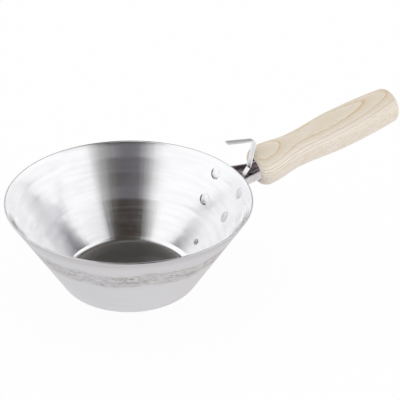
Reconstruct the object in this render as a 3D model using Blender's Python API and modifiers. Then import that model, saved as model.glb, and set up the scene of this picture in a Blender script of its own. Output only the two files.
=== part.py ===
"""Mason's scoop: a spun steel bowl, a riveted steel bracket, a bucket hook and a turned wooden handle.

Lengths are metres and +Z is up. The origin is the middle of the bowl's base, on the surface it stands on,
and +X runs from the bowl out along the handle.
"""

import math

import bmesh
import bpy
from mathutils import Vector

# Clearance left between pieces that touch on the real object
FIT_GAP = 0.0003

# Bowl: a straight cone of sheet steel with a flat base; radii and height are of its outer side
RIM_RADIUS = 0.0900
BASE_RADIUS = 0.0505
BOWL_HEIGHT = 0.0680
BOWL_SHEET = 0.0012
BASE_BEND_RADIUS = 0.0062

# Rivets that hold the bracket to the bowl, placed along the wall and to either side of the handle's plane
UPPER_RIVET_BELOW_RIM = 0.0105
LOWER_RIVET_BELOW_RIM = 0.0325
TAIL_RIVET_ABOVE_BASE = 0.0142
RIVET_SPREAD = math.radians(12.2)
RIVET_SHANK_RADIUS = 0.0020
RIVET_HEAD_RADIUS = 0.0040
RIVET_INNER_HEAD_HEIGHT = 0.0014
RIVET_OUTER_HEAD_HEIGHT = 0.0021
TAIL_SHANK_RADIUS = 0.0014
TAIL_HEAD_RADIUS = 0.0026
TAIL_INNER_HEAD_HEIGHT = 0.0010
TAIL_OUTER_HEAD_HEIGHT = 0.0014
HEAD_EDGE_HEIGHT = 0.0003

# Handle: turned wood, tilted up from the rim; stations are measured along its axis from the front face
HANDLE_REACH = 0.01556
HANDLE_DROP = 0.00185
HANDLE_TILT = math.radians(13.9)
HANDLE_LENGTH = 0.1321
NOSE_FACE_RADIUS = 0.0100
NOSE_ROUND_LENGTH = 0.0078
BULGE_RADIUS = 0.01605
BULGE_STATION = 0.0098
NECK_RADIUS = 0.0136
NECK_STATION = 0.0350
BELLY_RADIUS = 0.0161
BELLY_START = 0.0786
BELLY_END = 0.0868
HEEL_RADIUS = 0.01447
HEEL_STATION = 0.1252
MOUTH_RADIUS = 0.0095
MOUTH_DEPTH = 0.0200
BORE_END_CLEARANCE = 0.0020

# Bracket: one pressed sheet, a shield-shaped flange on the bowl that runs into an open channel and a tang
BRACKET_SHEET = 0.0015
FLANGE_MARGIN = 0.0065
FLANGE_BEND = 0.0016
CHANNEL_BELOW_RIM = 0.0020
CHANNEL_WALL_HALF_WIDTH = 0.0125
CHANNEL_WALL_CORNER = 0.0065
CHANNEL_MOUTH_HALF_WIDTH = 0.0084
CHANNEL_MOUTH_CORNER = 0.0074
EDGE_ABOVE_AXIS = 0.0011
TANG_RADIUS = 0.0050
TANG_CORNER_SHARE = 0.85
TANG_LENGTH = 0.0600
TANG_END_SHARE = 0.85

# Hook: one flat strip, riveted to the channel's floor and bent up, over and back towards the bowl
HOOK_WIDTH = 0.0050
HOOK_THICKNESS = 0.0013
HOOK_NOSE_GAP = 0.0005
HOOK_FOOT_LENGTH = 0.0043
HOOK_RISER_ANGLE = math.radians(52.8)
HOOK_KNEE_ABOVE_FLOOR = 0.0109
HOOK_LEAN = math.radians(9.5)
HOOK_TOP_ABOVE_FLOOR = 0.0337
HOOK_LIP_LENGTH = 0.0246
HOOK_LIP_RISE = math.radians(6.5)
HOOK_BEND_RADIUS = 0.0026
HOOK_SHANK_RADIUS = 0.0011
HOOK_HEAD_RADIUS = 0.0020
HOOK_HEAD_HEIGHT = 0.0010

# Facets
BOWL_STEPS = 72
BASE_BEND_STEPS = 5
HANDLE_STEPS = 40
NOSE_STEPS = 6
NECK_STEPS = 5
BELLY_STEPS = 6
HEEL_STEPS = 5
END_STEPS = 7
RIVET_STEPS = 16
HEAD_STEPS = 4
LEG_STEPS = 4
CORNER_STEPS = 8
FLOOR_STEPS = 4
FLANGE_TOP_STEPS = 5
FLANGE_SIDE_STEPS = 2
FLANGE_TIP_STEPS = 3
TANG_STEPS = 2
MOUTH_STEPS = 3
CHANNEL_STEPS = 4
BEND_STEPS = 5
FLANGE_STEPS = 5
STRIP_BEND_STEPS = 4
MERGE_DISTANCE = 0.00001

# Finishes: colour, metallic, roughness
BOWL_STEEL = ((0.74, 0.74, 0.75), 1.0, 0.28)
BRACKET_STEEL = ((0.70, 0.70, 0.70), 1.0, 0.22)
HOOK_STEEL = ((0.66, 0.66, 0.67), 1.0, 0.34)
RIVET_STEEL = ((0.62, 0.62, 0.63), 1.0, 0.30)
ASH_WOOD = ((0.77, 0.62, 0.45), 0.0, 0.60)

# The bowl's wall, and the handle's axis, that the other pieces are placed from
WALL_RUN = RIM_RADIUS - BASE_RADIUS
WALL_SLANT = math.hypot(WALL_RUN, BOWL_HEIGHT)
WALL_COS = WALL_RUN / WALL_SLANT
WALL_SIN = BOWL_HEIGHT / WALL_SLANT
HANDLE_FRONT = Vector((RIM_RADIUS + HANDLE_REACH, 0, BOWL_HEIGHT - HANDLE_DROP))
HANDLE_ALONG = Vector((math.cos(HANDLE_TILT), 0, math.sin(HANDLE_TILT)))
HANDLE_UP = Vector((-math.sin(HANDLE_TILT), 0, math.cos(HANDLE_TILT)))
BORE_RADIUS = TANG_RADIUS + FIT_GAP
BORE_DEPTH = TANG_LENGTH + BORE_END_CLEARANCE


def clear_scene():
    for old in list(bpy.data.objects):
        bpy.data.objects.remove(old, do_unlink=True)


def new_collection(name):
    collection = bpy.data.collections.new(name)
    bpy.context.scene.collection.children.link(collection)
    return collection


def new_material(name, finish):
    colour, metallic, roughness = finish
    material = bpy.data.materials.new(name)
    material.use_nodes = True
    shader = material.node_tree.nodes["Principled BSDF"]
    shader.inputs["Base Color"].default_value = (*colour, 1.0)
    shader.inputs["Metallic"].default_value = metallic
    shader.inputs["Roughness"].default_value = roughness
    return material


def add_object(name, mesh, collection, material=None):
    thing = bpy.data.objects.new(name, mesh)
    collection.objects.link(thing)
    if material is not None:
        mesh.materials.append(material)
    return thing


def turned(name, profile, steps, collection, material):
    """Turns the profile's (radius, height) points, from the top down its outer side, about local Z."""
    mesh = bpy.data.meshes.new(name)
    links = [(i, i + 1) for i in range(len(profile) - 1)]
    mesh.from_pydata([(radius, 0, height) for radius, height in profile], links, [])
    thing = add_object(name, mesh, collection, material)
    screw = thing.modifiers.new("Turn", "SCREW")
    screw.axis = "Z"
    screw.steps = steps
    screw.render_steps = steps
    screw.use_merge_vertices = True
    screw.merge_threshold = MERGE_DISTANCE
    screw.use_smooth_shade = True
    return thing


def cut(thing, cutter):
    boolean = thing.modifiers.new("Cut " + cutter.name, "BOOLEAN")
    boolean.operation = "DIFFERENCE"
    boolean.solver = "EXACT"
    boolean.object = cutter


def arc(centre, radius, start, end, count):
    """Points on an arc in a plane, both ends included."""
    angles = [start + (end - start) * i / count for i in range(count + 1)]
    return [(centre[0] + radius * math.cos(a), centre[1] + radius * math.sin(a)) for a in angles]


def wall_point(below_rim, turn):
    """A point on the bowl's outer side, and the way straight out of the wall there."""
    radius = RIM_RADIUS - below_rim * WALL_COS
    point = Vector((radius * math.cos(turn), radius * math.sin(turn), BOWL_HEIGHT - below_rim * WALL_SIN))
    outward = Vector((math.cos(turn) * WALL_SIN, math.sin(turn) * WALL_SIN, -WALL_COS))
    return point, outward


def cone_radius(height, offset):
    """Radius at a height of the cone that lies a distance outside the bowl's outer side."""
    return BASE_RADIUS + height * WALL_RUN / BOWL_HEIGHT + offset / WALL_SIN


def make_bowl(collection, material, cutters):
    bend = math.atan2(BOWL_HEIGHT, WALL_RUN)
    tangent = BASE_BEND_RADIUS * math.tan(bend / 2)
    bend_centre = (BASE_RADIUS - tangent, BASE_BEND_RADIUS)
    down = -math.pi / 2
    profile = [(RIM_RADIUS, BOWL_HEIGHT)]
    profile += arc(bend_centre, BASE_BEND_RADIUS, down + bend, down, BASE_BEND_STEPS)
    profile.append((0, 0))
    bowl = turned("bowl", profile, BOWL_STEPS, collection, material)
    add_sheet(bowl, BOWL_SHEET, -1)
    for cutter in cutters:
        cut(bowl, cutter)
    return bowl


def dome(radius, height, base, sign):
    """A rivet head's (radius, height) points from its edge to its crown; sign +1 stands up, -1 hangs down."""
    crown = height - HEAD_EDGE_HEIGHT
    sphere = (radius ** 2 + crown ** 2) / (2 * crown)
    points = [(radius, base)]
    for i in range(HEAD_STEPS + 1):
        reach = radius * (1 - i / HEAD_STEPS)
        rise = HEAD_EDGE_HEIGHT + math.sqrt(sphere ** 2 - reach ** 2) - (sphere - crown)
        points.append((reach, base + sign * rise))
    return points


def make_rivet(name, place, outward, stack, sizes, collection, material):
    """A rivet through a stack of sheets that spans local heights stack[0] to stack[1]."""
    shank_radius, head_radius, inner_height, outer_height = sizes
    low = stack[0] - FIT_GAP
    high = stack[1] + FIT_GAP
    profile = list(reversed(dome(head_radius, outer_height, high, 1)))
    profile += [(shank_radius, high), (shank_radius, low)]
    profile += dome(head_radius, inner_height, low, -1)
    rivet = turned(name, profile, RIVET_STEPS, collection, material)
    rivet.location = place
    rivet.rotation_mode = "QUATERNION"
    rivet.rotation_quaternion = outward.to_track_quat("Z", "Y")
    return rivet


def make_hole_cutter(name, place, outward, radius, reach, collection):
    """A round cutter, wider than the shank by the clearance, that passes the sheets on both sides."""
    mesh = bpy.data.meshes.new(name)
    shape = bmesh.new()
    bmesh.ops.create_cone(
        shape, cap_ends=True, segments=RIVET_STEPS, radius1=radius, radius2=radius, depth=2 * reach
    )
    shape.to_mesh(mesh)
    shape.free()
    cutter = add_object(name, mesh, collection)
    cutter.location = place
    cutter.rotation_mode = "QUATERNION"
    cutter.rotation_quaternion = outward.to_track_quat("Z", "Y")
    cutter.hide_render = True
    cutter.display_type = "WIRE"
    return cutter


def nose_profile():
    """The handle's rounded front, from the edge of its flat face out to the full bulge."""
    rise = BULGE_RADIUS - NOSE_FACE_RADIUS
    quarter = [math.pi / 2 * i / NOSE_STEPS for i in range(NOSE_STEPS + 1)]
    return [(NOSE_FACE_RADIUS + rise * math.sin(a), NOSE_ROUND_LENGTH * (1 - math.cos(a))) for a in quarter]


def swell(start, end, count):
    """A turned curve between two (radius, station) rings that leaves and meets both level."""
    points = []
    for i in range(1, count + 1):
        share = i / count
        blend = (1 - math.cos(math.pi * share)) / 2
        points.append((start[0] + (end[0] - start[0]) * blend, start[1] + (end[1] - start[1]) * share))
    return points


def heel_profile():
    """From the belly's end the handle falls away ever faster to the heel, and then closes in a dome."""
    points = []
    for i in range(1, HEEL_STEPS + 1):
        share = i / HEEL_STEPS
        radius = BELLY_RADIUS - (BELLY_RADIUS - HEEL_RADIUS) * share ** 2
        points.append((radius, BELLY_END + (HEEL_STATION - BELLY_END) * share))
    length = HANDLE_LENGTH - HEEL_STATION
    for i in range(1, END_STEPS + 1):
        angle = math.pi / 2 * i / END_STEPS
        points.append((HEEL_RADIUS * math.cos(angle), HEEL_STATION + length * math.sin(angle)))
    return points


def make_handle(collection, material):
    outside = [(MOUTH_RADIUS, 0)] + nose_profile()
    outside.append((BULGE_RADIUS, BULGE_STATION))
    outside += swell((BULGE_RADIUS, BULGE_STATION), (NECK_RADIUS, NECK_STATION), NECK_STEPS)
    outside += swell((NECK_RADIUS, NECK_STATION), (BELLY_RADIUS, BELLY_START), BELLY_STEPS)
    outside.append((BELLY_RADIUS, BELLY_END))
    outside += heel_profile()
    bore = [(BORE_RADIUS, MOUTH_DEPTH), (BORE_RADIUS, BORE_DEPTH), (0, BORE_DEPTH)]
    handle = turned("handle", list(reversed(outside)) + bore, HANDLE_STEPS, collection, material)
    handle.location = HANDLE_FRONT
    handle.rotation_euler = (0, math.pi / 2 - HANDLE_TILT, 0)
    return handle


def half_channel(half_width, corner, top, floor):
    """Half of a channel's section as (across, up) points, from the top edge down and in to the middle."""
    turn_start = floor + corner
    points = [(half_width, top + (turn_start - top) * i / LEG_STEPS) for i in range(LEG_STEPS)]
    points += arc((half_width - corner, turn_start), corner, 0, -math.pi / 2, CORNER_STEPS)
    points += [((half_width - corner) * (1 - i / FLOOR_STEPS), floor) for i in range(1, FLOOR_STEPS + 1)]
    return points


def floor_depth(round_radius, half_width, corner):
    """How far below the axis a channel's floor lies when its rounded corners just reach a circle."""
    return corner + math.sqrt((round_radius - corner) ** 2 - (half_width - corner) ** 2)


def mouth_section():
    """The channel where it enters the handle, square to the handle's axis."""
    depth = floor_depth(MOUTH_RADIUS - FIT_GAP, CHANNEL_MOUTH_HALF_WIDTH, CHANNEL_MOUTH_CORNER)
    flat = half_channel(CHANNEL_MOUTH_HALF_WIDTH, CHANNEL_MOUTH_CORNER, EDGE_ABOVE_AXIS, -depth)
    return [HANDLE_FRONT + Vector((0, across, 0)) + up * HANDLE_UP for across, up in flat]


def tang_section(station, share):
    """The tang's section inside the bore, scaled by share, at a station along the handle's axis."""
    half_width = math.sqrt(TANG_RADIUS ** 2 - EDGE_ABOVE_AXIS ** 2)
    corner = TANG_CORNER_SHARE * half_width
    flat = half_channel(half_width, corner, EDGE_ABOVE_AXIS, -floor_depth(TANG_RADIUS, half_width, corner))
    centre = HANDLE_FRONT + station * HANDLE_ALONG
    return [centre + Vector((0, across * share, 0)) + up * share * HANDLE_UP for across, up in flat]


def channel_floor_height():
    return mouth_section()[-1].z


def wall_section():
    """The channel in the upright plane through the rim, which fixes how it widens towards the bowl."""
    top = BOWL_HEIGHT - CHANNEL_BELOW_RIM
    flat = half_channel(CHANNEL_WALL_HALF_WIDTH, CHANNEL_WALL_CORNER, top, channel_floor_height())
    return [Vector((RIM_RADIUS, across, up)) for across, up in flat]


def meet_cone(start, toward, offset):
    """Where the straight line from start through toward meets the cone an offset outside the bowl."""
    step = toward - start
    slope = WALL_RUN / BOWL_HEIGHT
    radius = cone_radius(start.z, offset)
    a = step.x ** 2 + step.y ** 2 - (slope * step.z) ** 2
    b = 2 * (start.x * step.x + start.y * step.y - radius * slope * step.z)
    c = start.x ** 2 + start.y ** 2 - radius ** 2
    share = (-b - math.sqrt(b ** 2 - 4 * a * c)) / (2 * a)
    return start + share * step


def on_cone(across, up, offset):
    return Vector((math.sqrt(cone_radius(up, offset) ** 2 - across ** 2), across, up))


def flange_outline():
    """Half of the flange's outline as (across, up) points: arcs about the rivets joined by straight edges."""
    upper = wall_point(UPPER_RIVET_BELOW_RIM, RIVET_SPREAD)[0]
    lower = wall_point(LOWER_RIVET_BELOW_RIM, RIVET_SPREAD)[0]
    tail = wall_point(WALL_SLANT - TAIL_RIVET_ABOVE_BASE, 0)[0]
    side = math.atan2(upper.y - lower.y, upper.z - lower.z)
    taper = math.atan2(lower.y - tail.y, lower.z - tail.z)
    points = arc((upper.y, upper.z), FLANGE_MARGIN, math.pi / 2, -side, FLANGE_TOP_STEPS)
    points += arc((lower.y, lower.z), FLANGE_MARGIN, -side, -taper, FLANGE_SIDE_STEPS)
    tip = arc((tail.y, tail.z), FLANGE_MARGIN, -taper, -math.pi / 2, FLANGE_TIP_STEPS)
    edge_start = points[-1]
    edge_points = LEG_STEPS + CORNER_STEPS + FLOOR_STEPS + 1 - len(points) - len(tip)
    for i in range(1, edge_points + 1):
        share = i / (edge_points + 1)
        across = edge_start[0] + (tip[0][0] - edge_start[0]) * share
        points.append((across, edge_start[1] + (tip[0][1] - edge_start[1]) * share))
    return points + tip


def between(first, second, count):
    """Rows of points that run evenly from the first row to the second, without the first."""
    return [[a.lerp(b, i / count) for a, b in zip(first, second)] for i in range(1, count + 1)]


def bend_row(starts, corners, ends, share):
    """Points at one share of the way round a bend that leaves its starts and meets its ends smoothly."""
    left = 1 - share
    return [left ** 2 * a + 2 * share * left * b + share ** 2 * c for a, b, c in zip(starts, corners, ends)]


def bracket_rows():
    """Rows of points across half of the bracket's outer face, from the tang's end to the flange's edge."""
    offset = FIT_GAP + BRACKET_SHEET
    tang_end = tang_section(TANG_LENGTH, TANG_END_SHARE)
    tang_start = tang_section(MOUTH_DEPTH, 1)
    mouth = mouth_section()
    folds = [meet_cone(m, w, offset) for m, w in zip(mouth, wall_section())]
    bend_starts = [fold + FLANGE_BEND * (m - fold).normalized() for fold, m in zip(folds, mouth)]
    outline = flange_outline()
    bend_ends = []
    for fold, edge in zip(folds, outline):
        away = Vector((edge[0] - fold.y, edge[1] - fold.z)).normalized()
        bend_ends.append(on_cone(fold.y + FLANGE_BEND * away.x, fold.z + FLANGE_BEND * away.y, offset))
    rows = [tang_end]
    rows += between(tang_end, tang_start, TANG_STEPS)
    rows += between(tang_start, mouth, MOUTH_STEPS)
    rows += between(mouth, bend_starts, CHANNEL_STEPS)
    rows += [bend_row(bend_starts, folds, bend_ends, i / BEND_STEPS) for i in range(1, BEND_STEPS)]
    rows.append(bend_ends)
    for i in range(1, FLANGE_STEPS + 1):
        share = i / FLANGE_STEPS
        rows.append([
            on_cone(end.y + (edge[0] - end.y) * share, end.z + (edge[1] - end.z) * share, offset)
            for end, edge in zip(bend_ends, outline)
        ])
    return rows


def add_sheet(thing, thickness, offset):
    """Turns an open surface into sheet; offset -1 puts all its thickness behind the surface, 0 half of it."""
    sheet = thing.modifiers.new("Sheet", "SOLIDIFY")
    sheet.thickness = thickness
    sheet.offset = offset
    sheet.use_even_offset = True


def make_bracket(collection, material, cutters):
    """Half of the bracket's outer face is lofted, mirrored, and given the sheet's thickness inwards."""
    mesh = bpy.data.meshes.new("handle_bracket")
    shape = bmesh.new()
    grid = [[shape.verts.new(point) for point in row] for row in bracket_rows()]
    for row, next_row in zip(grid, grid[1:]):
        for i in range(len(row) - 1):
            shape.faces.new((row[i], row[i + 1], next_row[i + 1], next_row[i]))
    shape.to_mesh(mesh)
    shape.free()
    mesh.shade_smooth()
    bracket = add_object("handle_bracket", mesh, collection, material)
    mirror = bracket.modifiers.new("Other half", "MIRROR")
    mirror.use_axis = (False, True, False)
    mirror.merge_threshold = MERGE_DISTANCE
    add_sheet(bracket, BRACKET_SHEET, -1)
    for cutter in cutters:
        cut(bracket, cutter)
    return bracket


def rounded_path(corners, radius):
    """A path of 2D points through the corners, with each corner between the ends rounded."""
    points = [corners[0]]
    for before, corner, after in zip(corners, corners[1:], corners[2:]):
        back = (before - corner).normalized()
        ahead = (after - corner).normalized()
        half_angle = back.angle(ahead) / 2
        tangent = radius / math.tan(half_angle)
        start = corner + tangent * back
        end = corner + tangent * ahead
        centre = corner + radius / math.sin(half_angle) * (back + ahead).normalized()
        for i in range(STRIP_BEND_STEPS + 1):
            chord = start.lerp(end, i / STRIP_BEND_STEPS)
            points.append(centre + radius * (chord - centre).normalized())
    points.append(corners[-1])
    return points


def hook_foot_height():
    """Height of the middle of the hook's strip where it lies on the channel's floor."""
    return channel_floor_height() + BRACKET_SHEET + FIT_GAP + HOOK_THICKNESS / 2


def heel_bend_length():
    """How far the bend at the hook's heel reaches along the foot."""
    return HOOK_BEND_RADIUS * math.tan(HOOK_RISER_ANGLE / 2)


def hook_corners():
    """The strip's middle line as (x, z) corners: foot end, heel, knee, top and lip end."""
    outward = Vector((-math.cos(HOOK_LEAN), math.sin(HOOK_LEAN)))
    nose = [HANDLE_FRONT + station * HANDLE_ALONG + radius * HANDLE_UP for radius, station in nose_profile()]
    stand_off = max(outward.dot(Vector((point.x, point.z))) for point in nose)
    stand_off += HOOK_NOSE_GAP + HOOK_THICKNESS / 2
    knee_height = channel_floor_height() + HOOK_KNEE_ABOVE_FLOOR
    top_height = channel_floor_height() + HOOK_TOP_ABOVE_FLOOR
    knee, top = [
        Vector(((height * outward.y - stand_off) / -outward.x, height))
        for height in (knee_height, top_height)
    ]
    foot_height = hook_foot_height()
    heel = Vector((knee.x - (knee.y - foot_height) / math.tan(HOOK_RISER_ANGLE), foot_height))
    foot_end = heel - Vector((heel_bend_length() + HOOK_FOOT_LENGTH, 0))
    lip_end = top + HOOK_LIP_LENGTH * Vector((-math.cos(HOOK_LIP_RISE), math.sin(HOOK_LIP_RISE)))
    return [foot_end, heel, knee, top, lip_end]


def hook_rivet_place():
    """Where the hook's rivet crosses the channel's outer floor: mid-way along the flat of the hook's foot."""
    foot_end = hook_corners()[0]
    return Vector((foot_end.x + HOOK_FOOT_LENGTH / 2, 0, channel_floor_height()))


def make_hook(collection, material, cutter):
    mesh = bpy.data.meshes.new("hook")
    shape = bmesh.new()
    half = HOOK_WIDTH / 2
    pairs = [
        [shape.verts.new((point.x, side, point.y)) for side in (-half, half)]
        for point in rounded_path(hook_corners(), HOOK_BEND_RADIUS)
    ]
    for (left, right), (next_left, next_right) in zip(pairs, pairs[1:]):
        shape.faces.new((left, right, next_right, next_left))
    shape.to_mesh(mesh)
    shape.free()
    hook = add_object("hook", mesh, collection, material)
    add_sheet(hook, HOOK_THICKNESS, 0)
    cut(hook, cutter)
    return hook


def main():
    clear_scene()
    scoop = new_collection("masons_scoop")
    cutters = new_collection("cutters")
    bowl_steel = new_material("bowl_steel", BOWL_STEEL)
    bracket_steel = new_material("bracket_steel", BRACKET_STEEL)
    hook_steel = new_material("hook_steel", HOOK_STEEL)
    rivet_steel = new_material("rivet_steel", RIVET_STEEL)
    ash_wood = new_material("ash_wood", ASH_WOOD)

    main_sizes = (RIVET_SHANK_RADIUS, RIVET_HEAD_RADIUS, RIVET_INNER_HEAD_HEIGHT, RIVET_OUTER_HEAD_HEIGHT)
    tail_sizes = (TAIL_SHANK_RADIUS, TAIL_HEAD_RADIUS, TAIL_INNER_HEAD_HEIGHT, TAIL_OUTER_HEAD_HEIGHT)
    wall_rivets = (
        ("rivet_upper_left", UPPER_RIVET_BELOW_RIM, RIVET_SPREAD, main_sizes),
        ("rivet_upper_right", UPPER_RIVET_BELOW_RIM, -RIVET_SPREAD, main_sizes),
        ("rivet_lower_left", LOWER_RIVET_BELOW_RIM, RIVET_SPREAD, main_sizes),
        ("rivet_lower_right", LOWER_RIVET_BELOW_RIM, -RIVET_SPREAD, main_sizes),
        ("tail_rivet", WALL_SLANT - TAIL_RIVET_ABOVE_BASE, 0, tail_sizes),
    )
    wall_stack = (-BOWL_SHEET, FIT_GAP + BRACKET_SHEET)
    wall_holes = []
    for name, below_rim, turn, sizes in wall_rivets:
        place, outward = wall_point(below_rim, turn)
        make_rivet(name, place, outward, wall_stack, sizes, scoop, rivet_steel)
        radius = sizes[0] + FIT_GAP
        reach = BOWL_SHEET + BRACKET_SHEET + 2 * FIT_GAP
        wall_holes.append(make_hole_cutter("hole_" + name, place, outward, radius, reach, cutters))

    place = hook_rivet_place()
    hook_sizes = (HOOK_SHANK_RADIUS, HOOK_HEAD_RADIUS, HOOK_HEAD_HEIGHT, HOOK_HEAD_HEIGHT)
    hook_stack = (0, BRACKET_SHEET + FIT_GAP + HOOK_THICKNESS)
    straight_up = Vector((0, 0, 1))
    make_rivet("hook_rivet", place, straight_up, hook_stack, hook_sizes, scoop, rivet_steel)
    radius = HOOK_SHANK_RADIUS + FIT_GAP
    reach = BRACKET_SHEET + HOOK_THICKNESS + 2 * FIT_GAP
    hook_hole = make_hole_cutter("hole_hook_rivet", place, straight_up, radius, reach, cutters)

    make_bowl(scoop, bowl_steel, wall_holes)
    make_bracket(scoop, bracket_steel, wall_holes + [hook_hole])
    make_hook(scoop, hook_steel, hook_hole)
    make_handle(scoop, ash_wood)


main()
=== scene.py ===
"""Looks of the mason's scoop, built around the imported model.

Lengths are metres in the part's frame: the origin is the middle of the bowl's base, +Z is up and +X runs
out along the handle.

Three kinds of value recur among the constants:
- a range is (low, high, start, end), a smooth step that is start at low and below and end at high and above,
  and goes from 0 to 1 where it has no start and end
- a noise is (scale, detail, roughness, distortion), with the last ones left out where they are the usual ones
- a grain is a noise with one factor for each of three coordinates instead of a scale
"""

import math
from collections import namedtuple

import bmesh
import bpy
from mathutils import Matrix, Vector


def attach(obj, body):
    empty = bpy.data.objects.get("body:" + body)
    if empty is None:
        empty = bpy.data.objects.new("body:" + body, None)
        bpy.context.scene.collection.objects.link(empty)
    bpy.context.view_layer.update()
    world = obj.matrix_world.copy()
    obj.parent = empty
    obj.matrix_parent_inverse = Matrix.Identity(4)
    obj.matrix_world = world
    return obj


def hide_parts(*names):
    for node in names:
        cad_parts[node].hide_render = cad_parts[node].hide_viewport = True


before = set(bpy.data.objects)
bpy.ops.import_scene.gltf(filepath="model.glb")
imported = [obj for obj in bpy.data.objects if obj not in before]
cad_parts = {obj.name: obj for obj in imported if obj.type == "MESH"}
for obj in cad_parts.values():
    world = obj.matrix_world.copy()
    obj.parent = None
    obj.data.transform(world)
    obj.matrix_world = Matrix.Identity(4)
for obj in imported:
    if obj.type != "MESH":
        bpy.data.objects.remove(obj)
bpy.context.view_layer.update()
scene = bpy.context.scene

Rivet = namedtuple("Rivet", "shank head inner_height outer_height")
Way = namedtuple("Way", "ahead side left height deep")

# Sizes repeated from the part

RIM_RADIUS = 0.0900
BASE_RADIUS = 0.0505
BOWL_HEIGHT = 0.0680
BOWL_SHEET = 0.0012
BASE_BEND_RADIUS = 0.0062
BRACKET_SHEET = 0.0015
FIT_GAP = 0.0003
HANDLE_TILT = math.radians(13.9)
HANDLE_FRONT = Vector((0.10556, 0, 0.06615))
HANDLE_ALONG = Vector((math.cos(HANDLE_TILT), 0, math.sin(HANDLE_TILT)))
HANDLE_SIDE = Vector((0, 1, 0))
HANDLE_UP = Vector((-math.sin(HANDLE_TILT), 0, math.cos(HANDLE_TILT)))
# The hook's corners as (x, z), from its foot to its tip
HOOK_CORNERS = (
    (0.088358, 0.059964),
    (0.093949, 0.059964),
    (0.100363, 0.068414),
    (0.104178, 0.091214),
    (0.079736, 0.093999),
)
HOOK_WIDTH = 0.0050
HOOK_THICKNESS = 0.0013
HOOK_BEND_RADIUS = 0.0026
HOOK_RIVET_PLACE = Vector((0.090508, 0, 0.057514))
HOOK_RIVET_AXIS = Vector((0, 0, 1))
HOOK_RIVET = Rivet(0.0011, 0.0020, 0.0010, 0.0010)

WALL_RUN = RIM_RADIUS - BASE_RADIUS
WALL_SLANT = math.hypot(WALL_RUN, BOWL_HEIGHT)
WALL_COS = WALL_RUN / WALL_SLANT
WALL_SIN = BOWL_HEIGHT / WALL_SLANT
WALL_ANGLE = math.atan2(BOWL_HEIGHT, WALL_RUN)

# The inner heads are flatter than the part's, and both of the tail rivet's heads have a smaller radius. Only
# the inner heads show in the photo.
MAIN_RIVET = Rivet(0.0020, 0.0040, 0.0005, 0.0021)
TAIL_RIVET = Rivet(0.0014, 0.0022, 0.0008, 0.0014)
# Name, distance below the rim along the wall, angle round the bowl, and sizes
WALL_RIVETS = (
    ("rivet_upper_left", 0.0105, math.radians(12.2), MAIN_RIVET),
    ("rivet_upper_right", 0.0105, math.radians(-12.2), MAIN_RIVET),
    ("rivet_lower_left", 0.0325, math.radians(12.2), MAIN_RIVET),
    ("rivet_lower_right", 0.0325, math.radians(-12.2), MAIN_RIVET),
    ("tail_rivet", WALL_SLANT - 0.0142, 0.0, TAIL_RIVET),
)

# Camera, with its lens and frame in millimetres

LENS = 90
FRAME_WIDTH = 36
CLIP_START = 0.01
CAMERA_PLACE = Vector((-0.260588, -0.575607, 0.426994))
CAMERA_RIGHT = Vector((0.881393, -0.471679, 0.025789))
CAMERA_UP = Vector((0.214822, 0.448846, 0.867404))


def place_camera():
    """The photograph's view: a little above the rim and turned slightly."""
    data = bpy.data.cameras.new("camera")
    data.lens = LENS
    data.sensor_width = FRAME_WIDTH
    data.clip_start = CLIP_START
    camera = bpy.data.objects.new("camera", data)
    scene.collection.objects.link(camera)
    turn = Matrix((CAMERA_RIGHT, CAMERA_UP, CAMERA_RIGHT.cross(CAMERA_UP))).transposed()
    camera.matrix_world = Matrix.Translation(CAMERA_PLACE) @ turn.to_4x4()
    scene.camera = camera


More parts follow.
